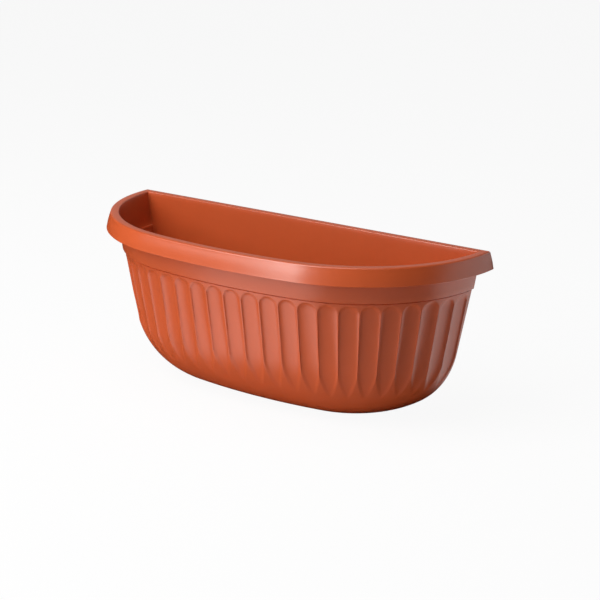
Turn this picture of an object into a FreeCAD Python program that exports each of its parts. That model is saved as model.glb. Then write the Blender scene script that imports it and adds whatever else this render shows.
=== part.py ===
import FreeCAD, Part
import math
import os
import Sketcher

# Half-round wall planter: a fluted tub with a turned-down rim, a loose drain grid, two drain plugs
# and the screws and wall plugs that it hangs on.
# The origin is on the wall, midway between the two screws. X is along the wall, the front faces -Y.

SIZES = [
    ("body_width", 400.0, "width over the lower edge of the rim"),
    ("body_depth", 152.0, "wall to the front of the rim's lower edge"),
    ("body_height", 160.0, "base to the top of the rim"),
    ("front_radius", 523.0, "front curve, at the rim's upper edge"),
    ("side_straight", 5.4, "straight stretch beside the wall"),
    ("wall", 2.2, "moulded wall"),
    ("rim_height", 16.0, "depth of the turned-down rim"),
    ("rim_flare", 4.4, "rim's lower edge stands out past its upper edge"),
    ("rim_edge", 1.2, "round on the rim's outer edges"),
    ("lip_width", 7.7, "flat top of the rim"),
    ("lip_thick", 2.4, "thickness of the rim's flat top"),
    ("back_lip", 8.5, "flat top of the rim along the wall"),
    ("back_draft", 1.5, "lean of the back wall, in degrees"),
    ("band_height", 35.0, "top of the rim to the crease"),
    ("band_taper", 8.5, "lean of the plain band, in degrees"),
    ("crease_step", 1.6, "step in at the crease"),
    ("ledge_thick", 2.0, "thickness of the step at the crease"),
    ("wall_taper", 10.1, "lean of the fluted wall, in degrees"),
    ("base_round", 80.0, "curve from the fluted wall into the base"),
    ("base_cut", 4.0, "part of that curve cut off by the flat base"),
    ("base_wall", 2.4, "thickness of the base"),
    ("flute_pitch", 19.0, "flute spacing just under the crease"),
    ("flute_radius", 16.5, "radius of a flute"),
    ("flute_depth", 2.3, "depth of a flute below the plain wall"),
    ("flute_gap", 3.0, "crease to the top of a flute"),
    ("rib_spacing", 140.0, "between the two spacer ribs on the back"),
    ("rib_thick", 2.0, "thickness of a spacer rib"),
    ("rib_foot", 14.0, "height at which a rib slants off above the base"),
    ("screw_spacing", 240.0, "between the two wall screws"),
    ("screw_drop", 11.0, "top of the rim to the screws"),
    ("shank_radius", 1.75, "screw shank"),
    ("shank_length", 28.0, "screw under its head"),
    ("tip_length", 5.0, "pointed end of the screw"),
    ("head_radius", 4.0, "screw head"),
    ("head_height", 2.8, "screw head"),
    ("head_rim", 1.0, "straight edge of the screw head"),
    ("drive_reach", 1.8, "cross recess in the screw head"),
    ("drive_width", 0.9, "cross recess in the screw head"),
    ("drive_depth", 1.5, "cross recess in the screw head"),
    ("notch_gap", 0.35, "notch in the back rim round the shank"),
    ("head_gap", 0.3, "screw head to the back rim"),
    ("anchor_radius", 2.5, "wall plug"),
    ("anchor_length", 25.0, "wall plug"),
    ("anchor_sunk", 2.2, "wall plug below the wall's face"),
    ("anchor_gap", 0.2, "wall plug round the screw"),
    ("anchor_split", 1.0, "slit in the wall plug"),
    ("anchor_solid", 8.0, "length of the wall plug that isn't slit"),
    ("drain_gap", 12.8, "grid legs to the boss round a drain hole"),
    ("drain_inset", 42.0, "wall to the drain holes"),
    ("drain_radius", 7.0, "drain hole"),
    ("sump_radius", 12.0, "recess under the base round a drain hole"),
    ("sump_depth", 3.4, "recess under the base round a drain hole"),
    ("plug_flange", 11.0, "flange of a drain plug"),
    ("flange_thick", 1.8, "flange of a drain plug"),
    ("plug_gap", 0.3, "drain plug inside its hole"),
    ("plug_reach", 3.0, "drain plug past the top of its hole"),
    ("plug_wall", 1.6, "wall of the hollow drain plug"),
    ("grid_rise", 30.0, "floor of the tub to the underside of the grid"),
    ("grid_thick", 2.4, "drain grid"),
    ("grid_gap", 1.0, "drain grid to the tub's walls"),
    ("leg_radius", 6.0, "grid leg"),
    ("leg_wall", 1.8, "wall of a hollow grid leg"),
    ("leg_end", 78.75, "end of the grid to the legs"),
    ("leg_back", 24.0, "wall to the back legs"),
    ("leg_clear", 2.05, "front legs to the start of the base's curve"),
    ("slot_width", 4.0, "slot in the grid"),
    ("slot_bar", 7.0, "bar between two slots of a row"),
    ("slot_side", 5.5, "legs to the nearest slots"),
    ("slot_back", 30.0, "wall to the first row of slots"),
    ("slot_front", 18.7, "front of the grid to the last row of slots"),
    ("finger_radius", 11.0, "finger hole in the grid"),
    ("finger_end", 38.75, "end of the grid to a finger hole"),
    ("finger_inset", 44.0, "wall to the finger holes"),
]
SLOT_COLUMNS = 7
SLOT_ROWS = 6

doc = FreeCAD.newDocument("wall_planter")
sheet = doc.addObject("Spreadsheet::Sheet", "Dim")
for row, (alias, value, note) in enumerate(SIZES, 1):
    sheet.set(f"A{row}", note)
    sheet.set(f"B{row}", str(value))
    sheet.setAlias(f"B{row}", alias)
doc.recompute()
size = {alias: float(sheet.get(alias)) for alias, value, note in SIZES}

# Shared formulas, all from the sheet. Heights are measured from the screws, insets from the rim's upper edge.
TOP = "Dim.screw_drop"
BASE = "(Dim.screw_drop - Dim.body_height)"
FLOOR = f"({BASE} + Dim.base_wall)"
CREASE = "(Dim.screw_drop - Dim.band_height)"
HALF = "(Dim.body_width / 2 - Dim.rim_flare)"
DEPTH = "(Dim.body_depth - Dim.rim_flare)"
BEYOND = "Dim.body_width"
SLOPE = "tan(Dim.wall_taper * 1deg)"
BAND_TOP = "(Dim.lip_width - Dim.wall)"
WALL_TOP = f"({BAND_TOP} + Dim.band_height * tan(Dim.band_taper * 1deg) + Dim.crease_step)"
RUN = f"({DEPTH} - Dim.side_straight)"
END_RADIUS = (f"((2 * Dim.front_radius * {RUN} - {HALF} ^ 2 - {RUN} ^ 2)"
              f" / (2 * (Dim.front_radius - {HALF})))")
BACK_TOP = "(Dim.back_lip - Dim.wall)"
LEAN = "tan(Dim.back_draft * 1deg)"
BOWL_RADIUS = "(Dim.base_round - Dim.wall)"
BOWL_DROP = "(Dim.body_height + Dim.base_cut - Dim.wall - Dim.band_height)"
BOWL_INSET = (f"({WALL_TOP} + Dim.wall + {BOWL_DROP} * {SLOPE}"
              f" + {BOWL_RADIUS} * tan((90deg - Dim.wall_taper * 1deg) / 2))")
BOWL_RISE = f"({BOWL_RADIUS} + Dim.wall - Dim.base_cut - Dim.base_wall)"
FLOOR_INSET = f"({BOWL_INSET} - sqrt({BOWL_RADIUS} ^ 2 - {BOWL_RISE} ^ 2))"
BELOW = f"({BOWL_RISE} - Dim.grid_rise)"
GRID_INSET = f"({BOWL_INSET} - sqrt({BOWL_RADIUS} ^ 2 - {BELOW} ^ 2) + Dim.grid_gap)"
LEG_X = f"({HALF} - {GRID_INSET} - Dim.leg_end)"
LEG_ARC = f"({END_RADIUS} - {FLOOR_INSET} - Dim.leg_radius - Dim.leg_clear)"
LEG_FRONT = f"(Dim.side_straight + sqrt({LEG_ARC} ^ 2 - ({LEG_X} - {HALF} + {END_RADIUS}) ^ 2))"
DRAIN_X = f"({LEG_X} - Dim.leg_radius - Dim.drain_gap - Dim.sump_radius - Dim.wall)"


def bind(thing, **formulas):
    """Tie properties to the sheet; a double underscore stands for a dot in the property's path."""
    for path, formula in formulas.items():
        thing.setExpression(path.replace("__", "."), formula)


def new_body(name):
    return doc.addObject("PartDesign::Body", name)


def new_sketch(body, name, role, height="0"):
    """A sketch on one of the body's own planes, moved along the plane's normal."""
    sketch = body.newObject("Sketcher::SketchObject", name)
    plane = [item for item in body.Origin.OriginFeatures if item.Role == role][0]
    sketch.AttachmentSupport = [(plane, "")]
    sketch.MapMode = "FlatFace"
    bind(sketch, AttachmentOffset__Base__z=height)
    return sketch


def value_of(formula):
    return float(sheet.evalExpression(formula))


def hold(sketch, kind, *where, formula=None):
    """Add a constraint, tied to a formula where it has a size."""
    if formula is None:
        sketch.addConstraint(Sketcher.Constraint(kind, *where))
        return
    index = sketch.addConstraint(Sketcher.Constraint(kind, *where, value_of(formula)))
    sketch.setExpression(f"Constraints[{index}]", formula)


def place_point(sketch, line, end, x, y):
    """Put one end of a line at (x, y), measured from the sketch's origin."""
    for kind, formula, axis in (("DistanceX", x, -2), ("DistanceY", y, -1)):
        if formula == "0":
            hold(sketch, "PointOnObject", line, end, axis)
        else:
            hold(sketch, kind, -1, 1, line, end, formula=formula)


def polygon(sketch, corners):
    """A closed outline of straight lines through corners given as formulas."""
    count = len(corners)
    start = [FreeCAD.Vector(value_of(x), value_of(y), 0) for x, y in corners]
    first = sketch.GeometryCount
    for i in range(count):
        sketch.addGeometry(Part.LineSegment(start[i], start[(i + 1) % count]), False)
    for i in range(count):
        hold(sketch, "Coincident", first + i, 2, first + (i + 1) % count, 1)
    for i, (x, y) in enumerate(corners):
        place_point(sketch, first + i, 1, x, y)


def half_round(sketch, inset, back):
    """The planter's plan: front arc, end arcs and straight sides, closed by a line at y = back."""
    radius, straight, drawn_in = size["front_radius"], size["side_straight"], value_of(inset)
    end = value_of(END_RADIUS)
    end_x = value_of(HALF) - end
    side_x, back_y = value_of(HALF) - drawn_in, value_of(back)
    centre_y = radius - value_of(DEPTH)
    meet = math.atan2(-straight - centre_y, end_x)
    up = FreeCAD.Vector(0, 0, 1)
    corner = [FreeCAD.Vector(side_x, -straight, 0), FreeCAD.Vector(side_x, back_y, 0),
              FreeCAD.Vector(-side_x, back_y, 0), FreeCAD.Vector(-side_x, -straight, 0)]
    front = Part.Circle(FreeCAD.Vector(0, centre_y, 0), up, radius - drawn_in)
    right = Part.Circle(FreeCAD.Vector(end_x, -straight, 0), up, end - drawn_in)
    left = Part.Circle(FreeCAD.Vector(-end_x, -straight, 0), up, end - drawn_in)
    sketch.addGeometry([
        Part.ArcOfCircle(front, -math.pi - meet, meet),
        Part.ArcOfCircle(right, meet, 0),
        Part.LineSegment(corner[0], corner[1]),
        Part.LineSegment(corner[1], corner[2]),
        Part.LineSegment(corner[2], corner[3]),
        Part.ArcOfCircle(left, math.pi, math.pi - meet),
    ], False)
    for first, second in ((0, 1), (1, 2), (4, 5), (5, 0)):
        hold(sketch, "Tangent", first, 2, second, 1)
    for first, second in ((2, 3), (3, 4)):
        hold(sketch, "Coincident", first, 2, second, 1)
    hold(sketch, "Vertical", 2)
    hold(sketch, "Vertical", 4)
    hold(sketch, "Symmetric", 3, 1, 3, 2, -2)
    hold(sketch, "PointOnObject", 0, 3, -2)
    hold(sketch, "Equal", 1, 5)
    hold(sketch, "DistanceX", -1, 1, 2, 1, formula=f"{HALF} - ({inset})")
    hold(sketch, "DistanceY", 1, 3, -1, 1, formula="Dim.side_straight")
    hold(sketch, "DistanceY", -1, 1, 2, 2, formula=back)
    hold(sketch, "Radius", 0, formula=f"Dim.front_radius - ({inset})")
    hold(sketch, "DistanceY", -1, 1, 0, 3, formula=f"Dim.front_radius - {DEPTH}")


def pad_down(body, name, sketch, length, taper="0"):
    """Extrude a plan sketch downwards; a positive taper draws it in."""
    pad = body.newObject("PartDesign::Pad", name)
    pad.Profile = sketch
    pad.Reversed = True
    bind(pad, Length=length, TaperAngle=f"-({taper})")
    doc.recompute()
    return pad


def cut_through(body, name, sketch, both_ways):
    """Cut a sketch right through the body, and make sure that it removed something."""
    before = body.Shape.Volume
    pocket = body.newObject("PartDesign::Pocket", name)
    pocket.Profile = sketch
    pocket.Type = "ThroughAll"
    pocket.Midplane = both_ways
    doc.recompute()
    if body.Shape.Volume > before - 1e-3:
        raise RuntimeError(f"{name} cuts nothing")


def cut_back(body, name, top, bottom):
    """Cut the body off along the wall side, from y = top at the rim to y = bottom at the base."""
    sketch = new_sketch(body, name + "_line", "YZ_Plane")
    far = f"2 * {BEYOND}"
    polygon(sketch, [(top, f"{TOP} + {far}"), (far, f"{TOP} + {far}"), (far, f"{BASE} - {far}"),
                     (bottom, f"{BASE} - {far}"), (bottom, BASE), (top, TOP)])
    cut_through(body, name, sketch, True)


def edges_at(shape, height, skip_back=True):
    """Names of the level edges at one height, without the straight one along the wall."""
    names = []
    for number, edge in enumerate(shape.Edges, 1):
        box = edge.BoundBox
        level = abs(box.ZMin - height) < 1e-4 and abs(box.ZMax - height) < 1e-4
        if level and not (skip_back and box.YLength < 1e-4):
            names.append(f"Edge{number}")
    return names


def add_flutes(body, radius, inset, mirror_x, axis_x, axis_y, first, pitch, count, tag):
    """A row of flutes round one upright axis: each is a round-ended groove that runs down the wall."""
    hub = new_sketch(body, f"hub_{tag}", "XY_Plane")
    hub.AttachmentOffset = FreeCAD.Placement(
        FreeCAD.Vector(0, 0, 0), FreeCAD.Rotation(FreeCAD.Vector(0, 0, 1), mirror_x * first - 90))
    bind(hub, AttachmentOffset__Base__x=axis_x, AttachmentOffset__Base__y=axis_y)
    hub.addGeometry(Part.Point(FreeCAD.Vector(0, 0, 0)), True)
    hold(hub, "Coincident", 0, 1, -1, 1)
    # the ball's centre stands outside the wall by radius less depth, square to the slope
    stand = "(Dim.flute_radius - Dim.flute_depth)"
    reach = f"sqrt(Dim.flute_radius ^ 2 - {stand} ^ 2)"
    drop = f"(Dim.flute_gap + {reach} * cos(Dim.wall_taper * 1deg))"
    hull = f"({radius} - {WALL_TOP} - {drop} * {SLOPE})"
    fall = f"(Dim.body_height - Dim.band_height - {drop})"
    # the sketch's upright axis is the cutter's, and its origin the ball's centre
    cutter = body.newObject("Sketcher::SketchObject", f"flute_{tag}")
    cutter.AttachmentSupport = [(hub, "")]
    cutter.MapMode = "ObjectXZ"
    cutter.AttachmentOffset = FreeCAD.Placement(
        FreeCAD.Vector(0, 0, 0), FreeCAD.Rotation(FreeCAD.Vector(0, 0, 1), -size["wall_taper"]))
    bind(cutter, AttachmentOffset__Base__x=f"{hull} + {stand} * cos(Dim.wall_taper * 1deg)",
         AttachmentOffset__Base__y=f"{CREASE} - {drop} - {stand} * sin(Dim.wall_taper * 1deg)")
    ball = f"(Dim.flute_radius + {inset})"
    length = f"({fall} / cos(Dim.wall_taper * 1deg))"
    big, low = value_of(ball), -value_of(length)
    circle = Part.Circle(FreeCAD.Vector(0, 0, 0), FreeCAD.Vector(0, 0, 1), big)
    cutter.addGeometry([
        Part.ArcOfCircle(circle, math.pi / 2, math.pi),
        Part.LineSegment(FreeCAD.Vector(-big, 0, 0), FreeCAD.Vector(-big, low, 0)),
        Part.LineSegment(FreeCAD.Vector(-big, low, 0), FreeCAD.Vector(0, low, 0)),
        Part.LineSegment(FreeCAD.Vector(0, low, 0), FreeCAD.Vector(0, big, 0)),
    ], False)
    hold(cutter, "Coincident", 0, 3, -1, 1)
    hold(cutter, "Tangent", 0, 2, 1, 1)
    for edge, after in ((1, 2), (2, 3)):
        hold(cutter, "Coincident", edge, 2, after, 1)
    hold(cutter, "Coincident", 3, 2, 0, 1)
    hold(cutter, "PointOnObject", 3, 1, -2)
    hold(cutter, "PointOnObject", 3, 2, -2)
    hold(cutter, "Vertical", 1)
    hold(cutter, "Horizontal", 2)
    hold(cutter, "Radius", 0, formula=ball)
    hold(cutter, "DistanceY", 3, 1, -1, 1, formula=length)
    groove = body.newObject("PartDesign::Groove", f"groove_{tag}")
    groove.Profile = cutter
    groove.ReferenceAxis = (cutter, ["V_Axis"])
    groove.Angle = 360
    doc.recompute()
    row = body.newObject("PartDesign::PolarPattern", f"flutes_{tag}")
    row.Originals = [groove]
    row.Axis = (hub, ["N_Axis"])
    row.Reversed = mirror_x < 0
    row.Angle = pitch * (count - 1)
    row.Occurrences = count
    body.Tip = row
    doc.recompute()


def fluted_form(name, inset, start, ledge, floor, back):
    """The solid that fills the tub from start above its top down to the base, drawn in by inset."""
    body = new_body(name)
    band = new_sketch(body, f"{name}_band", "XY_Plane", f"{TOP} + {start}")
    half_round(band, f"{BAND_TOP} - {start} * tan(Dim.band_taper * 1deg) + {inset}", BEYOND)
    pad_down(body, f"{name}_band_pad", band, f"{start} + Dim.band_height - {ledge}", "Dim.band_taper")
    wall = new_sketch(body, f"{name}_wall", "XY_Plane", f"{CREASE} + {ledge}")
    half_round(wall, f"{WALL_TOP} - {ledge} * {SLOPE} + {inset}", BEYOND)
    fall = f"(Dim.body_height + Dim.base_cut - Dim.band_height + {ledge} - {inset})"
    pad = pad_down(body, f"{name}_wall_pad", wall, fall, "Dim.wall_taper")
    lowest = pad.Shape.BoundBox.ZMin
    bowl = body.newObject("PartDesign::Fillet", f"{name}_bowl")
    bowl.Base = (pad, edges_at(pad.Shape, lowest))
    bind(bowl, Radius=f"Dim.base_round - {inset}")
    doc.recompute()
    foot = new_sketch(body, f"{name}_foot", "XY_Plane", f"{BASE} + {floor}")
    far = f"2 * {BEYOND}"
    polygon(foot, [(far, far), (f"-{far}", far), (f"-{far}", f"-{far}"), (far, f"-{far}")])
    cut_through(body, f"{name}_base", foot, False)
    cut_back(body, f"{name}_back", f"-{back}", f"-({back} + Dim.body_height * {LEAN})")
    flute_rows(body, inset)
    return body


def flute_rows(body, inset):
    """Flutes along the front arc and round both end arcs."""
    half = size["body_width"] / 2 - size["rim_flare"]
    depth = size["body_depth"] - size["rim_flare"]
    radius = size["front_radius"]
    run = depth - size["side_straight"]
    end = (2 * radius * run - half ** 2 - run ** 2) / (2 * (radius - half))
    turn = math.degrees(math.asin((half - end) / (radius - end)))
    top = (size["lip_width"] - size["wall"] + size["crease_step"]
           + size["band_height"] * math.tan(math.radians(size["band_taper"])))
    front_count = 2 * max(1, round(math.radians(turn) * (radius - top) / size["flute_pitch"]))
    front_pitch = 2 * turn / front_count
    end_pitch = math.degrees(size["flute_pitch"] / (end - top))
    end_count = int((90 - turn) / end_pitch)
    add_flutes(body, "Dim.front_radius", inset, 1, "0", f"Dim.front_radius - {DEPTH}",
               -turn + front_pitch / 2, front_pitch, front_count, body.Name + "_front")
    for side, tag in ((1, "right"), (-1, "left")):
        add_flutes(body, END_RADIUS, inset, side, f"{side} * ({HALF} - {END_RADIUS})", "-Dim.side_straight",
                   turn + end_pitch / 2, end_pitch, end_count, f"{body.Name}_{tag}")


def rim_solid(name, height, inset, fall, back):
    """A flared solid as wide as the rim, drawn in by inset and cut off straight at y = back."""
    body = new_body(name)
    plan = new_sketch(body, f"{name}_plan", "XY_Plane", height)
    half_round(plan, inset, BEYOND)
    pad_down(body, f"{name}_pad", plan, fall, "-atan(Dim.rim_flare / Dim.rim_height)")
    cut_back(body, f"{name}_back", back, back)
    return body


def cylinder(name, radius, height, x, y, z, axis=FreeCAD.Vector(0, 0, 1)):
    """A plain cylinder that starts at (x, y, z) and runs along axis."""
    item = doc.addObject("Part::Cylinder", name)
    item.Placement = FreeCAD.Placement(
        FreeCAD.Vector(0, 0, 0), FreeCAD.Rotation(FreeCAD.Vector(0, 0, 1), axis))
    bind(item, Radius=radius, Height=height, Placement__Base__x=x, Placement__Base__y=y, Placement__Base__z=z)
    return item


def box(name, length, width, height, x, y, z):
    item = doc.addObject("Part::Box", name)
    bind(item, Length=length, Width=width, Height=height,
         Placement__Base__x=x, Placement__Base__y=y, Placement__Base__z=z)
    return item


def fuse(name, items):
    """Join solids one after the other."""
    whole = items[0]
    for number, piece in enumerate(items[1:], 1):
        joined = doc.addObject("Part::Fuse", name if piece is items[-1] else f"{name}_{number}")
        joined.Base = whole
        joined.Tool = piece
        whole = joined
    return whole


def cut(name, base, tool):
    item = doc.addObject("Part::Cut", name)
    item.Base = base
    item.Tool = tool
    return item


def turned(body, name, role, corners, axis):
    """A solid of revolution; corners are radius and height along the sketch's upright axis."""
    sketch = new_sketch(body, f"{name}_half", role)
    polygon(sketch, corners)
    turn = body.newObject("PartDesign::Revolution", f"{name}_turn")
    turn.Profile = sketch
    turn.ReferenceAxis = (sketch, [axis])
    turn.Angle = 360
    doc.recompute()


# Planter tub: the turned-down rim, then the fluted body, spacer ribs, hollow, drain bosses and openings
rim_outside = rim_solid("rim_outside", TOP, "0", "Dim.rim_height", "0")
rim_rounds = rim_outside.newObject("PartDesign::Fillet", "rim_rounds")
pocket = rim_outside.Group[-2]
rim_top = size["screw_drop"]
rim_edges = edges_at(pocket.Shape, rim_top) + edges_at(pocket.Shape, rim_top - size["rim_height"])
rim_rounds.Base = (pocket, rim_edges)
bind(rim_rounds, Radius="Dim.rim_edge")
rim_inside = rim_solid("rim_inside", f"{TOP} - Dim.lip_thick",
                       "Dim.wall - Dim.lip_thick * Dim.rim_flare / Dim.rim_height",
                       "Dim.rim_height", "-Dim.wall")
rim = cut("rim", rim_outside, rim_inside)

outer = fluted_form("outer", "0", "-Dim.lip_thick / 2", "0", "0", BACK_TOP)
core = fluted_form("core", "Dim.wall", "Dim.lip_thick", "Dim.ledge_thick", "Dim.base_wall", "Dim.back_lip")

solids = [rim, outer]
for side, tag in ((1, "right"), (-1, "left")):
    rib = new_body(f"rib_{tag}")
    rib_side = new_sketch(rib, f"rib_{tag}_side", "YZ_Plane",
                          f"{side} * Dim.rib_spacing / 2 - Dim.rib_thick / 2")
    inner = f"({BACK_TOP} + Dim.wall / 2)"
    polygon(rib_side, [("0", f"{TOP} - Dim.lip_thick / 2"), ("0", f"{BASE} + 2 * Dim.rib_foot"),
                       (f"-({inner} + Dim.body_height * {LEAN})", f"{BASE} + Dim.rib_foot"),
                       (f"-{inner}", f"{TOP} - Dim.lip_thick / 2")])
    rib_pad = rib.newObject("PartDesign::Pad", f"rib_{tag}_pad")
    rib_pad.Profile = rib_side
    bind(rib_pad, Length="Dim.rib_thick")
    solids.append(rib)
shell = cut("shell", fuse("filled", solids), core)

bosses = []
openings = []
for side, tag in ((1, "right"), (-1, "left")):
    drain_x = f"{side} * {DRAIN_X}"
    screw_x = f"{side} * Dim.screw_spacing / 2"
    notch_radius = "(Dim.shank_radius + Dim.notch_gap)"
    bosses.append(cylinder(f"boss_{tag}", "Dim.sump_radius + Dim.wall", "Dim.sump_depth + Dim.base_wall",
                           drain_x, "-Dim.drain_inset", BASE))
    openings.append(cylinder(f"sump_{tag}", "Dim.sump_radius", "2 * Dim.sump_depth",
                             drain_x, "-Dim.drain_inset", f"{BASE} - Dim.sump_depth"))
    openings.append(cylinder(f"drain_{tag}", "Dim.drain_radius", "4 * Dim.sump_depth",
                             drain_x, "-Dim.drain_inset", f"{BASE} - Dim.sump_depth"))
    openings.append(cylinder(f"notch_top_{tag}", notch_radius, "2 * Dim.wall",
                             screw_x, "-1.5 * Dim.wall", "0", FreeCAD.Vector(0, 1, 0)))
    openings.append(box(f"notch_{tag}", f"2 * {notch_radius}", "2 * Dim.wall", "Dim.rim_height",
                        f"{screw_x} - {notch_radius}", "-1.5 * Dim.wall", "-Dim.rim_height"))
tub = cut("planter_tub", fuse("bossed", [shell] + bosses), fuse("openings", openings))

# Drain grid: a plate that fits the tub's plan, with rows of slots and two finger holes
grid = new_body("drain_grid")
grid_back = f"-(Dim.back_lip + Dim.body_height * {LEAN} + Dim.grid_gap)"
grid_under = f"({FLOOR} + Dim.grid_rise)"
plan = new_sketch(grid, "grid_plan", "XY_Plane", f"{grid_under} + Dim.grid_thick")
half_round(plan, GRID_INSET, BEYOND)
pad_down(grid, "grid_plate", plan, "Dim.grid_thick")
cut_back(grid, "grid_back", grid_back, grid_back)


def round_spots(sketch, spots, radius):
    """Circles of one radius, each centred on a pair of formulas."""
    for x, y in spots:
        centre = FreeCAD.Vector(value_of(x), value_of(y), 0)
        index = sketch.addGeometry(Part.Circle(centre, FreeCAD.Vector(0, 0, 1), value_of(radius)), False)
        hold(sketch, "DistanceX", -1, 1, index, 3, formula=x)
        hold(sketch, "DistanceY", -1, 1, index, 3, formula=y)
        hold(sketch, "Radius", index, formula=radius)


finger_x = f"({HALF} - {GRID_INSET} - Dim.finger_end)"
fingers = new_sketch(grid, "finger_circles", "XY_Plane", f"{grid_under} + Dim.grid_thick")
round_spots(fingers, [(f"{side} * {finger_x}", "-Dim.finger_inset") for side in (1, -1)], "Dim.finger_radius")
cut_through(grid, "finger_holes", fingers, False)
slot_pitch_x = f"(({LEG_X} - Dim.leg_radius - Dim.slot_side + Dim.slot_bar / 2) / {SLOT_COLUMNS / 2})"
slot_pitch_y = f"(({DEPTH} - {GRID_INSET} - Dim.slot_front - Dim.slot_back) / {SLOT_ROWS - 1})"
for row in range(SLOT_ROWS):
    slot = new_sketch(grid, f"slot_{row}", "XY_Plane", f"{grid_under} + Dim.grid_thick")
    left = f"-({SLOT_COLUMNS / 2} * {slot_pitch_x} - Dim.slot_bar / 2)"
    right = f"-({SLOT_COLUMNS / 2 - 1} * {slot_pitch_x} + Dim.slot_bar / 2)"
    near = f"-(Dim.slot_back + {row} * {slot_pitch_y} - Dim.slot_width / 2)"
    far = f"-(Dim.slot_back + {row} * {slot_pitch_y} + Dim.slot_width / 2)"
    polygon(slot, [(left, near), (left, far), (right, far), (right, near)])
    cut_through(grid, f"slot_cut_{row}", slot, False)
    slots = grid.newObject("PartDesign::LinearPattern", f"slot_row_{row}")
    slots.Originals = [grid.Group[-2]]
    slots.Direction = (slot, ["H_Axis"])
    bind(slots, Length=f"{SLOT_COLUMNS - 1} * {slot_pitch_x}")
    slots.Occurrences = SLOT_COLUMNS
    grid.Tip = slots
    doc.recompute()

# Hollow legs that hold the grid above the floor, open at the bottom
pieces = [tub, grid]
for side, tag in ((1, "right"), (-1, "left")):
    for depth, row in (("Dim.leg_back", "back"), (LEG_FRONT, "front")):
        leg = new_body(f"grid_leg_{tag}_{row}")
        bore = "(Dim.leg_radius - Dim.leg_wall)"
        turned(leg, f"leg_{tag}_{row}", "XZ_Plane", [
            (bore, FLOOR), ("Dim.leg_radius", FLOOR), ("Dim.leg_radius", grid_under), ("0", grid_under),
            ("0", f"{grid_under} - Dim.leg_wall"), (bore, f"{grid_under} - Dim.leg_wall")], "V_Axis")
        bind(leg, Placement__Base__x=f"{side} * {LEG_X}", Placement__Base__y=f"-{depth}")
        pieces.append(leg)

# Drain plugs, pushed in from below, and the screws and wall plugs that carry the planter
for side, tag in ((1, "right"), (-1, "left")):
    plug = new_body(f"drain_plug_{tag}")
    stem = "(Dim.drain_radius - Dim.plug_gap)"
    flange_top = f"({BASE} + Dim.sump_depth)"
    flange_low = f"({flange_top} - Dim.flange_thick)"
    stem_top = f"({flange_top} + Dim.base_wall + Dim.plug_reach)"
    turned(plug, f"plug_{tag}", "XZ_Plane", [
        (f"{stem} - Dim.plug_wall", flange_low), ("Dim.plug_flange", flange_low),
        ("Dim.plug_flange", flange_top), (stem, flange_top), (stem, f"{stem_top} - Dim.plug_wall / 2"),
        (f"{stem} - Dim.plug_wall / 2", stem_top), ("0", stem_top), ("0", f"{stem_top} - Dim.plug_wall"),
        (f"{stem} - Dim.plug_wall", f"{stem_top} - Dim.plug_wall")], "V_Axis")
    bind(plug, Placement__Base__x=f"{side} * {DRAIN_X}", Placement__Base__y="-Dim.drain_inset")
    pieces.append(plug)
    screw = new_body(f"wall_screw_{tag}")
    under = "-(Dim.wall + Dim.head_gap)"
    front = f"({under} - Dim.head_height)"
    end = f"({under} + Dim.shank_length)"
    turned(screw, f"screw_{tag}", "XY_Plane", [
        ("0", front), ("0.6 * Dim.head_radius", front), ("Dim.head_radius", f"{under} - Dim.head_rim"),
        ("Dim.head_radius", under), ("Dim.shank_radius", under),
        ("Dim.shank_radius", f"{end} - Dim.tip_length"), ("0", end)], "V_Axis")
    cross = new_sketch(screw, f"cross_{tag}", "XZ_Plane", f"-{front}")
    wide, slim = "Dim.drive_reach", "Dim.drive_width / 2"
    polygon(cross, [(wide, slim), (slim, slim), (slim, wide), (f"-{slim}", wide), (f"-{slim}", slim),
                    (f"-{wide}", slim), (f"-{wide}", f"-{slim}"), (f"-{slim}", f"-{slim}"),
                    (f"-{slim}", f"-{wide}"), (slim, f"-{wide}"), (slim, f"-{slim}"), (wide, f"-{slim}")])
    before = screw.Shape.Volume
    drive = screw.newObject("PartDesign::Pocket", f"drive_{tag}")
    drive.Profile = cross
    bind(drive, Length="Dim.drive_depth")
    doc.recompute()
    if screw.Shape.Volume > before - 1e-3:
        raise RuntimeError("the cross recess cuts nothing")
    bind(screw, Placement__Base__x=f"{side} * Dim.screw_spacing / 2")
    pieces.append(screw)
    anchor = new_body(f"wall_plug_{tag}")
    hole = "(Dim.shank_radius + Dim.anchor_gap)"
    deep = "(Dim.anchor_sunk + Dim.anchor_length)"
    turned(anchor, f"anchor_{tag}", "XY_Plane", [
        (hole, "Dim.anchor_sunk"), ("Dim.anchor_radius", "Dim.anchor_sunk"), ("Dim.anchor_radius", deep),
        (hole, deep)], "V_Axis")
    slit = new_sketch(anchor, f"slit_{tag}", "XY_Plane")
    polygon(slit, [("Dim.anchor_split / 2", "Dim.anchor_sunk + Dim.anchor_solid"),
                   ("Dim.anchor_split / 2", f"2 * {deep}"), ("-Dim.anchor_split / 2", f"2 * {deep}"),
                   ("-Dim.anchor_split / 2", "Dim.anchor_sunk + Dim.anchor_solid")])
    cut_through(anchor, f"slit_cut_{tag}", slit, True)
    bind(anchor, Placement__Base__x=f"{side} * Dim.screw_spacing / 2")
    pieces.append(anchor)

doc.recompute()
for item in doc.Objects:
    if "Invalid" in item.State or "Error" in item.State:
        raise RuntimeError(f"{item.Label}: {item.getStatusString()}")
os.makedirs("parts", exist_ok=True)
for piece in pieces:
    if piece.Shape.isNull() or not piece.Shape.isValid() or len(piece.Shape.Solids) != 1:
        raise RuntimeError(f"{piece.Label} is not one sound solid")
    piece.Shape.exportStep(f"parts/{piece.Label}.step")
    bounds = piece.Shape.optimalBoundingBox()
    print(f"{piece.Label}: {piece.Shape.Volume / 1000:.2f} cm3, {bounds}")
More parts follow.
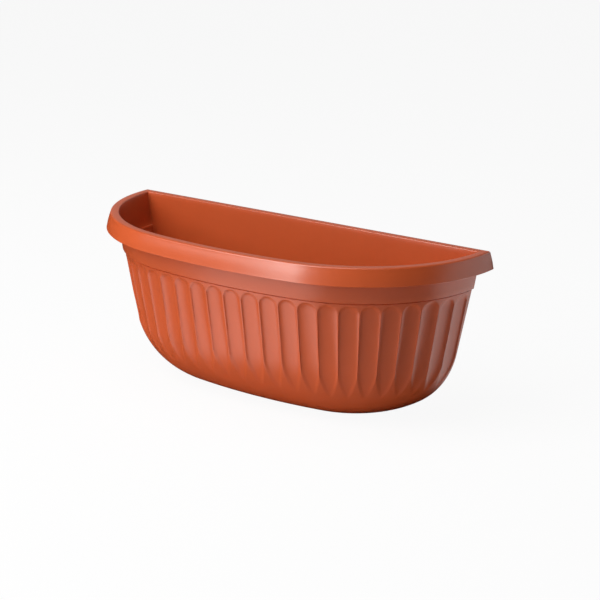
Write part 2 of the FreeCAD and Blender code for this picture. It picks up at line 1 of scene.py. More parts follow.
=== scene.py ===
# %% [markdown]
# A half-round wall planter in terracotta-coloured plastic
#
# The planter hangs on two screws with its flat back against a wall. Its construction model is loaded
# first and stays fixed: every piece made here sits on it, in metres, in the same frame.

# %% Load the construction model
import math

import bmesh
import bpy
from mathutils import Matrix, Vector


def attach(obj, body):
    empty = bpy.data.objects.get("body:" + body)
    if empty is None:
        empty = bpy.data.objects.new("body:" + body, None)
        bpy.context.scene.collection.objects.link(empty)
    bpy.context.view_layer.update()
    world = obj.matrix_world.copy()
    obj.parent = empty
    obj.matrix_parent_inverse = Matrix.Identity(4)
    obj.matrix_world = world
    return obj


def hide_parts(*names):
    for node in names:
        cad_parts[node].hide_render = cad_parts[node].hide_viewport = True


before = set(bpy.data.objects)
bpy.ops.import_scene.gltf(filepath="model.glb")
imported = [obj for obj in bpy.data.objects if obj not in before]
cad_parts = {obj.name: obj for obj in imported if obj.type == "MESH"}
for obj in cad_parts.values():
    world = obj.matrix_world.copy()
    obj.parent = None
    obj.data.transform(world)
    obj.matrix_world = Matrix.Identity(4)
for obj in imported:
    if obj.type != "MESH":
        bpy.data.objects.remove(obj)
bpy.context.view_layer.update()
scene = bpy.context.scene
scene.view_settings.view_transform = "Standard"
MM = 0.001

# %% [markdown]
# Node trees are easier to read as formulas than as dozens of linked boxes. One small class stands for a
# node's output, and arithmetic on it adds Math nodes. It serves the shapes and the finishes alike.

# %% Expressions that build node trees


class Wire:
    """A node's output. Arithmetic on it adds Math nodes to the same tree."""

    def __init__(self, net, socket):
        self.net, self.socket = net, socket

    def calc(self, operation, *terms):
        return self.net.node("ShaderNodeMath", {"operation": operation}, dict(enumerate((self,) + terms)))

    def __add__(self, other):
        return self.calc("ADD", other)

    __radd__ = __add__

    def __mul__(self, other):
        return self.calc("MULTIPLY", other)

    __rmul__ = __mul__

    def __sub__(self, other):
        return self.calc("SUBTRACT", other)

    def __rsub__(self, other):
        return (self * -1.0) + other

    def __truediv__(self, other):
        return self.calc("DIVIDE", other)


class Net:
    """A node tree, filled one node at a time."""

    def __init__(self, tree):
        self.tree = tree

    def node(self, kind, settings=None, sockets=None, pick=0):
        """Add a node, set it up, feed its sockets by name or number, and return one of its outputs."""
        made = self.tree.nodes.new(kind)
        for name, value in (settings or {}).items():
            if name == "stops":
                ramp = made.color_ramp
                while len(ramp.elements) < len(value):
                    ramp.elements.new(0.5)
                for element, (place, colour) in zip(ramp.elements, value):
                    element.position, element.color = place, colour
            else:
                setattr(made, name, value)
        for key, value in (sockets or {}).items():
            if isinstance(value, Wire):
                self.tree.links.new(value.socket, made.inputs[key])
            else:
                made.inputs[key].default_value = value
        return Wire(self, made.outputs[pick]) if made.outputs else made


# %% [markdown]
# Seen from above, the planter is a half-round: a shallow front arc, an end arc at each side and a
# straight back. All levels of the tub are parallel offsets of that one outline, so a level is told by
# three numbers: how far it is drawn in, its height, and where its back lies.

# %% The plan outline
TOP = 11.0                                  # rim above the screws, where the frame has its origin
HALF, DEPTH = 195.6, 147.6                  # outline of the rim's upper edge
FRONT_RADIUS, SIDE_STRAIGHT = 523.0, 5.4
RUN = DEPTH - SIDE_STRAIGHT
END_RADIUS = (2 * FRONT_RADIUS * RUN - HALF ** 2 - RUN ** 2) / (2 * (FRONT_RADIUS - HALF))
FRONT_CENTRE, END_CENTRE = FRONT_RADIUS - DEPTH, HALF - END_RADIUS
TURN = math.asin(END_CENTRE / (FRONT_RADIUS - END_RADIUS))
WALL = 2.2
WALL_TOP = 12.33                            # inset of the fluted wall just under the crease
FLUTE_PITCH = 19.0
FRONT_FLUTES = max(1, round(TURN * (FRONT_RADIUS - WALL_TOP) / FLUTE_PITCH))
FRONT_PITCH = TURN / FRONT_FLUTES
END_PITCH = FLUTE_PITCH / (END_RADIUS - WALL_TOP)
END_FLUTES = int((math.pi / 2 - TURN) / END_PITCH)
ACROSS = (0.0, 0.012, 0.03, 0.06, 0.11, 0.18, 0.26, 0.34, 0.42, 0.5)
ACROSS = ACROSS + tuple(1 - part for part in ACROSS[-2:0:-1])
SIDE_STEPS, CORNER_STEPS, BACK_STEPS = 3, 4, 10


def half_plan(inset, back, corner):
    """Points of one half of an outline, from the middle of the front to the middle of the back."""
    front, end = FRONT_RADIUS - inset, END_RADIUS - inset
    points = []
    for flute in range(FRONT_FLUTES):
        for part in ACROSS:
            angle = (flute + part) * FRONT_PITCH
            points.append((front * math.sin(angle), FRONT_CENTRE - front * math.cos(angle)))
    corner_y = back - corner
    reach = math.acos(max(0.0, min(1.0, (-SIDE_STRAIGHT - corner_y) / end)))
    before_last = TURN + (END_FLUTES - 1) * END_PITCH
    last_width = min(END_PITCH, reach - 0.006 - before_last)
    for flute in range(END_FLUTES):
        for part in ACROSS + ((1.0,) if flute == END_FLUTES - 1 else ()):
            width = last_width if flute == END_FLUTES - 1 else END_PITCH
            angle = TURN + flute * END_PITCH + part * width
            points.append((END_CENTRE + end * math.sin(angle), -SIDE_STRAIGHT - end * math.cos(angle)))

    def side_x(y):
        return END_CENTRE + math.sqrt(end ** 2 - min(0.0, y + SIDE_STRAIGHT) ** 2)

    ridge_y = points[-1][1]
    for step in range(1, SIDE_STEPS + 1):
        y = ridge_y + (corner_y - ridge_y) * step / SIDE_STEPS
        points.append((side_x(y), y))
    side = points[-1][0]
    for step in range(1, CORNER_STEPS + 1):
        angle = math.pi / 2 * step / CORNER_STEPS
        points.append((side - corner * (1 - math.cos(angle)), corner_y + corner * math.sin(angle)))
    for step in range(1, BACK_STEPS + 1):
        points.append(((side - corner) * (1 - step / BACK_STEPS), back))
    return points


ON_ARCS = (FRONT_FLUTES + END_FLUTES) * len(ACROSS) + 1
print("flutes:", 2 * (FRONT_FLUTES + END_FLUTES), "points on a half outline:", len(half_plan(0, 0, 1)))

# %% [markdown]
# The tub is one moulding of even thickness, so its skin is a single closed surface. It starts at the
# base, climbs the outside, folds over the rim and goes down again on the inside to the floor. The
# profile below lists the levels on that way. Every edge gets a small round, as a mould would leave it.

# %% The tub's profile, level by level
HEIGHT, BAND_HEIGHT, RIM_HEIGHT, RIM_FLARE = 160.0, 35.0, 16.0, 4.4
LIP_WIDTH, LIP_THICK, BACK_LIP = 7.7, 2.4, 8.5
BAND_ANGLE, WALL_ANGLE, BACK_ANGLE = (math.radians(lean) for lean in (8.5, 10.1, 1.5))
BAND_SLOPE, SLOPE, LEAN = (math.tan(angle) for angle in (BAND_ANGLE, WALL_ANGLE, BACK_ANGLE))
LEDGE_THICK, BASE_WALL = 2.0, 2.4
ROUND, ROUND_CENTRE_Z = 80.0, -84.0
ROUND_FOOT = ROUND - ROUND_CENTRE_Z         # depth of the round's lowest point; the base cuts it off above
ROUND_TURN = math.pi / 2 - WALL_ANGLE
ROUND_INSET = WALL_TOP + (ROUND_FOOT - BAND_HEIGHT) * SLOPE + ROUND * math.tan(ROUND_TURN / 2)
levels = []


def level(inset, z, back, corner=0.8, outer=0.0, inner=0.0):
    levels.append({"inset": inset, "z": z, "back": back, "corner": corner, "outer": outer, "inner": inner})


def outer_back(z):
    return -(BACK_LIP - WALL) + z * LEAN


def inner_back(z):
    return -BACK_LIP + z * LEAN


def steps(start, end, count):
    return [start + (end - start) * i / count for i in range(count + 1)]


def bowl(radius, foot_z, count, back, **mask):
    """Levels on the curve between the floor and the sloping wall, from the bottom up."""
    low = math.acos((ROUND_CENTRE_Z - foot_z) / radius)
    for angle in steps(low, ROUND_TURN, count):
        z = ROUND_CENTRE_Z - radius * math.cos(angle)
        level(ROUND_INSET - radius * math.sin(angle), z, back(z), **mask)


bowl(ROUND, -HEIGHT, 34, outer_back, outer=1.0)
wall_start = levels[-1]["z"]
FLUTE_HEAD = -50.0                          # the flutes' round heads are above this level
CREASE_CUT, CREASE_DEEP = 1.3, 0.9          # the fine groove under the band
CREASE_BACK = 0.02                          # keeps the levels apart on the flat back, too little to see
for z in steps(wall_start, FLUTE_HEAD, 12)[1:] + steps(FLUTE_HEAD, -BAND_HEIGHT - CREASE_CUT, 20)[1:]:
    level(WALL_TOP + (-BAND_HEIGHT - z) * SLOPE, z, outer_back(z), outer=1.0)
print("levels up to the crease:", len(levels))

band_foot = LIP_WIDTH - WALL + BAND_HEIGHT * BAND_SLOPE
level(WALL_TOP + CREASE_DEEP, -BAND_HEIGHT - CREASE_CUT + 0.4, outer_back(-BAND_HEIGHT) - CREASE_BACK)
level(WALL_TOP + CREASE_DEEP, -BAND_HEIGHT, outer_back(-BAND_HEIGHT) - CREASE_BACK)
level(band_foot + 0.35, -BAND_HEIGHT, outer_back(-BAND_HEIGHT))
level(band_foot + 0.08, -BAND_HEIGHT + 0.15, outer_back(-BAND_HEIGHT))
for z in steps(-BAND_HEIGHT + 0.5, -LIP_THICK - 0.5, 7):
    level(LIP_WIDTH - WALL - z * BAND_SLOPE, z, outer_back(z))
FLARE = RIM_FLARE / RIM_HEIGHT
level(LIP_WIDTH - WALL - 0.1, -LIP_THICK, outer_back(-LIP_THICK) + 0.4)
level(WALL - LIP_THICK * FLARE + 0.5, -LIP_THICK, -WALL - 0.5)
for z in steps(-LIP_THICK - 0.5, -RIM_HEIGHT + 1.1, 5):
    level(WALL + z * FLARE, z, -WALL)
for angle in steps(0.0, math.pi, 6)[1:-1]:
    across = (1 - math.cos(angle)) / 2
    level(-RIM_FLARE + WALL * (1 - across), -RIM_HEIGHT + 1.1 * (1 - math.sin(angle)), -WALL * (1 - across))
RIM_BULGE, RIM_EDGE = 0.35, 1.5
for part in steps(0.0, 1.0, 8):
    z = -RIM_HEIGHT + 1.1 + (RIM_HEIGHT - 1.1 - RIM_EDGE) * part
    level(z * FLARE - RIM_BULGE * math.sin(math.pi * part), z, 0.0, 1.2)
for angle in steps(0.0, math.pi / 2, 5)[1:]:
    level(-RIM_EDGE * FLARE + (RIM_EDGE + RIM_EDGE * FLARE) * (1 - math.cos(angle)),
          -RIM_EDGE * (1 - math.sin(angle)), -RIM_EDGE * (1 - math.cos(angle)), 1.2)
LIP_EDGE = 0.7
for angle in steps(0.0, math.pi / 2, 3):
    drop = LIP_EDGE * (1 - math.cos(angle))
    shy = LIP_EDGE * (1 - math.sin(angle))
    level(LIP_WIDTH - shy, -drop, -BACK_LIP + shy, 0.8 + shy)
print("levels up to the lip:", len(levels))

ledge_z = -BAND_HEIGHT + LEDGE_THICK
for z in steps(-LIP_EDGE, ledge_z + 0.3, 7)[1:]:
    level(LIP_WIDTH - z * BAND_SLOPE, z, inner_back(z))
level(LIP_WIDTH - ledge_z * BAND_SLOPE + 0.25, ledge_z, inner_back(ledge_z))
inner_top = WALL_TOP + WALL - LEDGE_THICK * SLOPE
level(inner_top - 0.2, ledge_z - 0.05, inner_back(ledge_z))
first_inner = len(levels)
bowl(ROUND - WALL, -HEIGHT + BASE_WALL, 22, inner_back, inner=1.0)
bowl_levels = levels[first_inner:]
del levels[first_inner:]
for z in steps(ledge_z - 0.4, FLUTE_HEAD, 14) + steps(FLUTE_HEAD, bowl_levels[-1]["z"], 9)[1:-1]:
    level(inner_top + (ledge_z - z) * SLOPE, z, inner_back(z), inner=1.0)
levels.extend(reversed(bowl_levels))
print("levels down to the floor:", len(levels))

# %% [markdown]
# A plain skin comes first: the outline is repeated at every level and neighbouring outlines are joined
# by quads. Two attributes mark where flutes belong, outside and inside, and fade out at the back.

# %% The plain skin
MASK_FADE = 3


def skin(name, levels):
    """A closed surface through all levels, with a flat face at each end."""
    mesh_data = bmesh.new()
    masks = {key: mesh_data.verts.layers.float.new(key) for key in ("outer", "inner")}
    rings = []
    for item in levels:
        half = half_plan(item["inset"], item["back"], item["corner"])
        ring = half + [(-x, y) for x, y in half[-2:0:-1]]
        row = []
        for number, (x, y) in enumerate(ring):
            vert = mesh_data.verts.new(Vector((x, y, item["z"] + TOP)) * MM)
            place = min(number, len(ring) - number)
            fade = max(0.0, min(1.0, (ON_ARCS + SIDE_STEPS + MASK_FADE - place) / MASK_FADE))
            for key, layer in masks.items():
                vert[layer] = item[key] * fade
            row.append(vert)
        rings.append(row)
    for low, high in zip(rings, rings[1:]):
        for i in range(len(low)):
            k = (i + 1) % len(low)
            mesh_data.faces.new((low[i], low[k], high[k], high[i]))
    mesh_data.faces.new(rings[0])
    mesh_data.faces.new(rings[-1])
    bmesh.ops.recalc_face_normals(mesh_data, faces=mesh_data.faces)
    mesh = bpy.data.meshes.new(name)
    mesh_data.to_mesh(mesh)
    mesh_data.free()
    made = bpy.data.objects.new(name, mesh)
    scene.collection.objects.link(made)
    return made


tub = skin("fluted_tub", levels)
print("plain skin:", len(tub.data.polygons), "faces")

# %% [markdown]
# The flutes are what makes this planter: shallow round-headed hollows side by side that run out in long
# points where the wall curves under. Across, a hollow is half a flat ellipse, so its floor is broad and
# its edges are crisp. A Geometry Nodes tree moves every point of the plain skin in by what the nearest
# hollow takes, draws the hollows to a point on the curve, and leaves the ridges slightly rounded with
# smooth maxima. The inside is the same tree with slightly wider hollows.

# %% The flute tree
FLUTE_HALF, FLUTE_DEPTH, FLUTE_GAP = 8.9, 2.6, 3.0
POINT_START, POINT_END = -97.0, -132.0      # the hollows narrow to a point between these levels
FLUTE_INPUTS = {
    "Half width": FLUTE_HALF * MM,
    "Depth": FLUTE_DEPTH * MM,
    "Head height": (TOP - BAND_HEIGHT - FLUTE_GAP - FLUTE_HALF * math.cos(WALL_ANGLE)) * MM,
    "Point start": (TOP + POINT_START) * MM,
    "Point end": (TOP + POINT_END) * MM,
    "Ridge softness": 0.35 * MM,
    "Edge softness": 0.35 * MM,
}


def flute_tree(mask):
    """Geometry Nodes that press flutes into the skin where the mask attribute is set."""
    tree = bpy.data.node_groups.new("flutes_" + mask, "GeometryNodeTree")
    tree.interface.new_socket("Geometry", in_out="INPUT", socket_type="NodeSocketGeometry")
    for name, value in FLUTE_INPUTS.items():
        tree.interface.new_socket(name, in_out="INPUT", socket_type="NodeSocketFloat").default_value = value
    tree.interface.new_socket("Finish", in_out="INPUT", socket_type="NodeSocketMaterial")
    tree.interface.new_socket("Geometry", in_out="OUTPUT", socket_type="NodeSocketGeometry")
    net = Net(tree)
    entry = tree.nodes.new("NodeGroupInput")
    given = {socket.name: Wire(net, socket) for socket in entry.outputs if socket.name}
    place = net.node("GeometryNodeInputPosition")
    parts = tree.nodes.new("ShaderNodeSeparateXYZ")
    tree.links.new(place.socket, parts.inputs[0])
    x, y, z = (Wire(net, socket) for socket in parts.outputs)
    across = x.calc("ABSOLUTE")

    front_y = y * -1.0 + FRONT_CENTRE * MM
    front_angle = across.calc("ARCTAN2", front_y)
    front_reach = (across * across + front_y * front_y).calc("SQRT")
    end_x = across - END_CENTRE * MM
    end_y = y * -1.0 - SIDE_STRAIGHT * MM
    end_angle = end_x.calc("ARCTAN2", end_y) - TURN
    end_reach = (end_x * end_x + end_y * end_y).calc("SQRT")
    at_end = front_angle.calc("GREATER_THAN", TURN)

    def either(front, end):
        return front + at_end * (end - front)

    angle = either(front_angle, end_angle)
    pitch = at_end * (END_PITCH - FRONT_PITCH) + FRONT_PITCH
    last_cell = at_end * float(END_FLUTES - FRONT_FLUTES) + float(FRONT_FLUTES - 1)
    radius = at_end * ((END_RADIUS - FRONT_RADIUS) * MM) + FRONT_RADIUS * MM
    reach = either(front_reach, end_reach)
    hull = radius - reach
    cell = (angle / pitch).calc("FLOOR").calc("MINIMUM", last_cell).calc("MAXIMUM", 0.0)
    off = (angle - (cell + 0.5) * pitch) * reach
    beyond = (z - given["Head height"]).calc("MAXIMUM", 0.0) / math.cos(WALL_ANGLE)
    along = net.node("ShaderNodeMapRange", None, {
        "Value": z, "From Min": given["Point start"], "From Max": given["Point end"]})
    left = 1.0 - along * along
    half = given["Half width"] * left + 1e-6

    def hollow(side):
        spread = (side * side + beyond * beyond) / (half * half)
        bowed = (1.0 - spread).calc("MAXIMUM", 0.0).calc("SQRT")
        return hull + bowed * left * given["Depth"] / math.cos(WALL_ANGLE)

    width = pitch * reach
    near = hollow(off)
    side = off.calc("ABSOLUTE") - width
    outermost = at_end * off.calc("GREATER_THAN", 0.0) * cell.calc("COMPARE", last_cell, 0.5)
    neighbour = hollow(side) - outermost
    pressed = near.calc("SMOOTH_MAX", neighbour, given["Ridge softness"])
    deepest = hull.calc("SMOOTH_MAX", pressed, given["Edge softness"])
    amount = net.node("GeometryNodeInputNamedAttribute", {"data_type": "FLOAT"}, {"Name": mask})
    move = (deepest - hull) * amount
    ratio = move / reach
    out_x = either(across, end_x) * ratio * x.calc("SIGN") * -1.0
    out_y = either(front_y, end_y) * ratio
    shift = net.node("ShaderNodeCombineXYZ", None, {"X": out_x, "Y": out_y})
    moved = net.node("GeometryNodeSetPosition", None, {"Geometry": given["Geometry"], "Offset": shift})
    realised = net.node("GeometryNodeRealizeInstances", None, {"Geometry": moved})
    finished = net.node("GeometryNodeSetMaterial", None, {"Geometry": realised, "Material": given["Finish"]})
    leave = tree.nodes.new("NodeGroupOutput")
    tree.links.new(finished.socket, leave.inputs["Geometry"])
    return tree


def run_tree(made, tree, values):
    """Run a tree on an object with some inputs changed, and keep the result as its plain mesh."""
    modifier = made.modifiers.new(tree.name, "NODES")
    modifier.node_group = tree
    for item in tree.interface.items_tree:
        if item.in_out == "INPUT" and item.name in values:
            modifier[item.identifier] = values[item.name]
    made.update_tag()
    result = bpy.data.meshes.new_from_object(made.evaluated_get(bpy.context.evaluated_depsgraph_get()))
    made.modifiers.remove(modifier)
    made.data = result
    return made


# %% [markdown]
# The tub is moulded polypropylene in a warm terracotta. It is satin rather than glossy: broad soft
# highlights, slight clouding where the melt flowed, and a fine grain from the mould. Noise at three
# scales feeds the colour, the roughness and a bump.

# %% The plastics' finish
GRAIN_STRENGTH, GRAIN_DEPTH = 0.04, 0.6 * MM


def new_finish(name):
    made = bpy.data.materials.new(name)
    made.use_nodes = True
    made.node_tree.nodes.clear()
    return made, Net(made.node_tree)


def moulded(name, colour, shade, rough, rough_swing, grain, cloud=26.0, specular=0.5, metal=0.0):
    """Two near colours in soft clouds, uneven gloss and a fine grain: moulded plastic, or plated metal."""
    made, net = new_finish(name)
    place = net.node("ShaderNodeTexCoord", pick="Object")
    clouds = net.node("ShaderNodeTexNoise", None, {"Vector": place, "Scale": cloud, "Detail": 4.0})
    flow = net.node("ShaderNodeTexNoise", None, {"Vector": place, "Scale": cloud * 6, "Detail": 3.0})
    speck = net.node("ShaderNodeTexNoise", None, {"Vector": place, "Scale": grain, "Detail": 2.0})
    mix = clouds * 0.75 + flow * 0.25
    stops = [(0.36, (*shade, 1.0)), (0.62, (*colour, 1.0))]
    tint = net.node("ShaderNodeValToRGB", {"stops": stops}, {"Fac": mix})
    gloss = (flow - 0.5) * rough_swing + (speck - 0.5) * (rough_swing * 0.6) + rough
    bump = net.node("ShaderNodeBump", None, {
        "Strength": GRAIN_STRENGTH, "Distance": GRAIN_DEPTH, "Height": speck + flow * 0.5})
    surface = net.node("ShaderNodeBsdfPrincipled", None, {
        "Base Color": tint, "Roughness": gloss, "Normal": bump,
        "IOR": 1.49, "Specular IOR Level": specular, "Metallic": metal})
    net.node("ShaderNodeOutputMaterial", None, {"Surface": surface})
    return made


terracotta = moulded("terracotta_moulding", (0.65, 0.106, 0.026), (0.625, 0.101, 0.0245), 0.31, 0.06, 1600.0,
                     specular=1.0)
print("finish:", terracotta.name)

# %% Press the flutes, outside and inside
run_tree(tub, flute_tree("outer"), {"Finish": terracotta})
run_tree(tub, flute_tree("inner"), {
    "Half width": (FLUTE_HALF + WALL / 2) * MM, "Finish": terracotta})
print("fluted skin:", len(tub.data.polygons), "faces")

# %% [markdown]
# Behind and below, the tub has the features that hang and drain it. Two ribs keep the back clear of the
# wall, two notches in the rim's skirt drop over the screws, and two raised rings in the floor hold the
# drain holes. In the mould these are plain prisms, so plain prisms are added to the skin and cut from it.

# %% Ribs, drain rings and hanging notches
RIB_X, RIB_THICK = 70.0, 2.0
RIB_SIDE = [(-0.02, 9.8), (-0.02, -121.0), (-11.6, -135.0), (-7.4, 9.8)]
DRAIN_X, DRAIN_Y, BASE = 45.0, -42.0, TOP - HEIGHT
RING_RADIUS, RING_LOW, RING_HIGH = 14.2, 0.1, 5.8
SUMP_RADIUS, SUMP_HIGH, HOLE_RADIUS, HOLE_HIGH = 12.0, 3.4, 7.0, 8.0
CUT_LOW = -1.0                              # cutters start below the base
SCREW_X, NOTCH_RADIUS, NOTCH_FOOT = 120.0, 2.1, -16.0
NOTCH_FRONT, NOTCH_BACK = -3.3, 1.1


def prism(outline, low, high, place):
    """A closed prism; place() turns its outline and height into x, y and z."""
    made = bmesh.new()
    ends = [[made.verts.new(Vector(place(u, v, w)) * MM) for u, v in outline] for w in (low, high)]
    for end in ends:
        made.faces.new(end)
    for i in range(len(outline)):
        k = (i + 1) % len(outline)
        made.faces.new((ends[0][i], ends[0][k], ends[1][k], ends[1][i]))
    bmesh.ops.recalc_face_normals(made, faces=made.faces)
    mesh = bpy.data.meshes.new("prism")
    made.to_mesh(mesh)
    made.free()
    tool = bpy.data.objects.new("prism", mesh)
    scene.collection.objects.link(tool)
    return tool


def circle(x, y, radius, count=48):
    turns = (2 * math.pi * i / count for i in range(count))
    return [(x + radius * math.cos(turn), y + radius * math.sin(turn)) for turn in turns]


def hook(x, radius, foot, count=12):
    """A slot's outline: a half round on top with straight sides down to its foot."""
    turns = (math.pi * i / count for i in range(count + 1))
    crown = [(x + radius * math.cos(turn), radius * math.sin(turn)) for turn in turns]
    return crown + [(x - radius, foot), (x + radius, foot)]


def combine(made, tool, operation):
    """Add a prism to a mesh or cut it away, and keep the result as the plain mesh."""
    modifier = made.modifiers.new(operation, "BOOLEAN")
    modifier.operation, modifier.solver, modifier.object = operation, "EXACT", tool
    made.update_tag()
    result = bpy.data.meshes.new_from_object(made.evaluated_get(bpy.context.evaluated_depsgraph_get()))
    made.modifiers.remove(modifier)
    made.data = result
    bpy.data.objects.remove(tool)


def upright(low, high, outline):
    return prism(outline, BASE + low, BASE + high, lambda u, v, w: (u, v, w))


for side in (-1, 1):
    rib_x, drain_x = side * RIB_X, side * DRAIN_X
    rib = prism(RIB_SIDE, rib_x - RIB_THICK / 2, rib_x + RIB_THICK / 2, lambda u, v, w: (w, u, v))
    combine(tub, rib, "UNION")
    combine(tub, upright(RING_LOW, RING_HIGH, circle(drain_x, DRAIN_Y, RING_RADIUS)), "UNION")
    combine(tub, upright(CUT_LOW, SUMP_HIGH, circle(drain_x, DRAIN_Y, SUMP_RADIUS)), "DIFFERENCE")
    combine(tub, upright(CUT_LOW, HOLE_HIGH, circle(drain_x, DRAIN_Y, HOLE_RADIUS)), "DIFFERENCE")
    notch = hook(side * SCREW_X, NOTCH_RADIUS, NOTCH_FOOT)
    combine(tub, prism(notch, NOTCH_FRONT, NOTCH_BACK, lambda u, v, w: (u, w, v)), "DIFFERENCE")
SHARP = math.radians(38)
tub.data.shade_smooth()
tub.data.set_sharp_from_angle(angle=SHARP)
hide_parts("planter_tub")
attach(tub, "tub")
print("tub:", len(tub.data.polygons), "faces")

# %% [markdown]
# The other pieces keep the shape that they have in the construction model. The grid and its legs are dark
# recycled plastic, the drain plugs a softer plastic near the tub's colour, the wall plugs grey nylon and
# the screws zinc-plated steel. One recipe serves them all, with other colours, gloss and grain.

# %% Finishes of the small pieces
dark_plastic = moulded("dark_moulding", (0.030, 0.030, 0.031), (0.022, 0.022, 0.023), 0.5, 0.12, 1400.0)
plug_plastic = moulded("plug_moulding", (0.50, 0.12, 0.045), (0.45, 0.105, 0.038), 0.5, 0.1, 1500.0)
grey_nylon = moulded("grey_nylon", (0.36, 0.37, 0.38), (0.31, 0.32, 0.33), 0.45, 0.1, 1800.0)
steel = moulded("zinc_steel", (0.62, 0.62, 0.60), (0.52, 0.52, 0.51), 0.32, 0.15, 2200.0, metal=1.0)
SMALL_FINISHES = {"drain_grid": dark_plastic, "grid_leg": dark_plastic, "drain_plug": plug_plastic,
                  "wall_screw": steel, "wall_plug": grey_nylon}
for name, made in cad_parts.items():
    for start, finish in SMALL_FINISHES.items():
        if name.startswith(start):
            made.data.materials.clear()
            made.data.materials.append(finish)
            print(name, "in", finish.name)

# %% [markdown]
# The planter stands on a plain pale floor in soft studio light. Most of it comes from a soft box high
# up on the left and from the floor it lights; a wide box and a narrow one fill the front, and one hangs
# overhead. The white room shows only as the picture's ground and, on some sides, in reflections.
# In mirrored rays the floor glows white on two sides only, a painted reflection, and near the planter it is
# painted dark, a painted shadow.

# %% What the floor and the room show in reflections
# In mirrored rays the floor glows white only on the sides in FLOOR_SIDES: a painted reflection.
# azimuth of a bright side, the angles from it where it begins to fade and is gone, and its share
FLOOR_SIDES = [(-9, 14, 32, 1.0), (119, 19, 34, 1.0)]
# In mirrored rays the floor is painted dark near the middle, a painted shadow of the planter, and turns
# white between these distances.
SHADED, LIT = 0.14, 0.20                    # distance from the middle at which the floor is white again
GROUND_WHITE = 0.93                         # the camera sees the lit floor, with its shadow, as the rest
ROOM_SIDES = [(140, 25, 50, 1.0), (-150, 20, 45, 0.3)]


def heading(azimuth):
    """A level direction; azimuth 0 is straight in front of the planter, positive to the right."""
    turn = math.radians(azimuth)
    return Vector((math.sin(turn), -math.cos(turn), 0.0))


def room_rays(net, place, sides):
    """Rays from the camera, mirrored rays, and how bright the room is where a mirrored ray meets it."""
    path = net.tree.nodes.new("ShaderNodeLightPath")
    seen, glossy, passed = (Wire(net, path.outputs[kind]) for kind in
                            ("Is Camera Ray", "Is Glossy Ray", "Is Transmission Ray"))
    towards = net.node("ShaderNodeVectorMath", {"operation": "NORMALIZE"}, {0: place})
    bright = 0.0
    for middle, inside, outside, strength in sides:
        facing = net.node("ShaderNodeVectorMath", {"operation": "DOT_PRODUCT"},
                          {0: towards, 1: heading(middle)}, pick="Value")
        side = net.node("ShaderNodeMapRange", {"interpolation_type": "SMOOTHSTEP"}, {
            "Value": facing, "From Min": math.cos(math.radians(outside)),
            "From Max": math.cos(math.radians(inside))})
        bright = side * strength + bright
    return seen, glossy.calc("MAXIMUM", passed), bright


# %% The floor
FLOOR_SIZE, FLOOR_GAP, FLOOR_COLOUR = 12.0, 0.0002, (0.92, 0.92, 0.92, 1.0)
WHITE = (1.0, 1.0, 1.0, 1.0)
bpy.ops.mesh.primitive_plane_add(size=FLOOR_SIZE, location=(0.0, 0.0, (TOP - HEIGHT) * MM - FLOOR_GAP))
floor = bpy.context.object
floor.name = "pale_floor"
floor_finish, net = new_finish("pale_floor")
place = net.node("ShaderNodeTexCoord", pick="Object")
matt = net.node("ShaderNodeBsdfDiffuse", None, {"Color": FLOOR_COLOUR})
reach = net.node("ShaderNodeVectorMath", {"operation": "LENGTH"}, {0: place}, pick="Value")
# A painted shadow: in mirrored rays the floor stays dark near the planter.
clear = net.node("ShaderNodeMapRange", {"interpolation_type": "SMOOTHSTEP"}, {
    "Value": reach, "From Min": SHADED, "From Max": LIT})
seen, mirrored, bright = room_rays(net, place, FLOOR_SIDES)
# White for the camera; in mirrored rays a painted reflection, bright only on the chosen sides and outside
# the painted shadow.
white = net.node("ShaderNodeEmission", None, {
    "Color": WHITE, "Strength": seen + mirrored * bright * clear})
ground = net.node("ShaderNodeMixShader", None, {0: seen * GROUND_WHITE + mirrored, 1: matt, 2: white})
net.node("ShaderNodeOutputMaterial", None, {"Surface": ground})
floor.data.materials.append(floor_finish)
print("floor:", FLOOR_SIZE, "m wide")

# %% The room
ROOM_LIGHT = 0.02
world = bpy.data.worlds.new("white_room")
scene.world = world
world.use_nodes = True
world.node_tree.nodes.clear()
net = Net(world.node_tree)
place = net.node("ShaderNodeTexCoord", pick="Generated")
seen, mirrored, bright = room_rays(net, place, ROOM_SIDES)
strength = (seen + mirrored * bright) * (1.0 - ROOM_LIGHT) + ROOM_LIGHT
room = net.node("ShaderNodeBackground", None, {"Color": WHITE, "Strength": strength})
net.node("ShaderNodeOutputWorld", None, {"Surface": room})
print("room:", world.name)

# %% The lamps
MIDDLE, LAMP_REACH = Vector((0.0, -0.08, -0.05)), 1.6
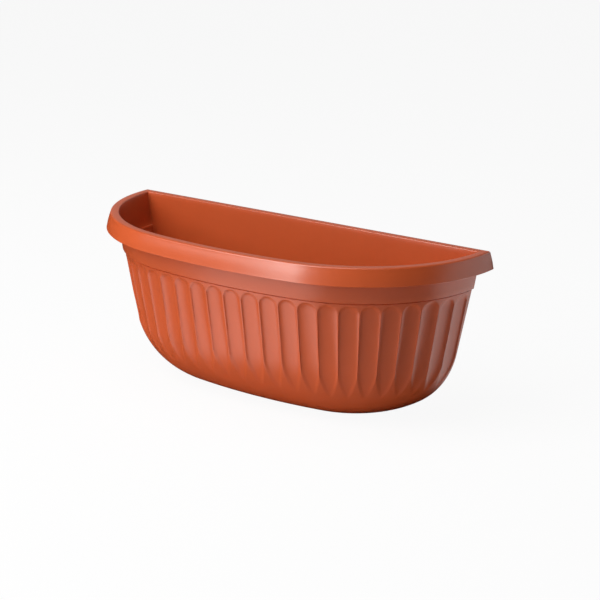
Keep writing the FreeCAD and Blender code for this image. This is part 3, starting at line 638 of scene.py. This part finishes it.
# name, azimuth and elevation in degrees, width and height in metres, power in watts
LAMPS = [
    ("key_box", -12, 16, 0.32, 0.9, 5.2),
    ("front_box", -34, 27, 1.5, 0.6, 7.0),
    ("high_box", -26, 52, 0.9, 0.9, 14.5),
    ("top_box", -20, 84, 0.9, 0.9, 6.5),
]


def soft_box(name, place, target, width, height, power):
    """A rectangular lamp that faces its target."""
    lamp = bpy.data.lights.new(name, "AREA")
    lamp.shape, lamp.size, lamp.size_y, lamp.energy = "RECTANGLE", width, height, power
    made = bpy.data.objects.new(name, lamp)
    made.location = place
    made.rotation_euler = (Vector(target) - Vector(place)).to_track_quat("-Z", "Y").to_euler()
    scene.collection.objects.link(made)


def aimed(azimuth, elevation, distance):
    """A place seen from the planter's middle."""
    rise = math.radians(elevation)
    return MIDDLE + (heading(azimuth) * math.cos(rise) + Vector((0, 0, math.sin(rise)))) * distance


for name, azimuth, elevation, width, height, power in LAMPS:
    soft_box(name, aimed(azimuth, elevation, LAMP_REACH), MIDDLE, width, height, power)
print("lamps:", len(LAMPS))

# %% [markdown]
# The camera's place and lens were worked out from the outline of the rim and the crease.

# %% Camera
CAMERA_PLACE = Vector((827.1, -1234.9, 366.4 + TOP)) * MM
CAMERA_TARGET = Vector((52.8, -88.0, -50.6 + TOP)) * MM
CAMERA_ROLL = math.radians(1.09)
SENSOR, FOCAL, NEAREST, FARTHEST = 36.0, 96.74, 0.05, 50.0
lens = bpy.data.cameras.new("camera")
lens.sensor_width, lens.lens = SENSOR, FOCAL
lens.clip_start, lens.clip_end = NEAREST, FARTHEST
camera = bpy.data.objects.new("camera", lens)
forward = (CAMERA_TARGET - CAMERA_PLACE).normalized()
level_right = forward.cross(Vector((0, 0, 1))).normalized()
level_up = level_right.cross(forward)
right = level_right * math.cos(CAMERA_ROLL) + level_up * math.sin(CAMERA_ROLL)
up = level_up * math.cos(CAMERA_ROLL) - level_right * math.sin(CAMERA_ROLL)
turned = Matrix((right, up, -forward)).transposed().to_4x4()
camera.matrix_world = Matrix.Translation(CAMERA_PLACE) @ turned
scene.collection.objects.link(camera)
scene.camera = camera
print("camera at", [round(value, 3) for value in camera.location])
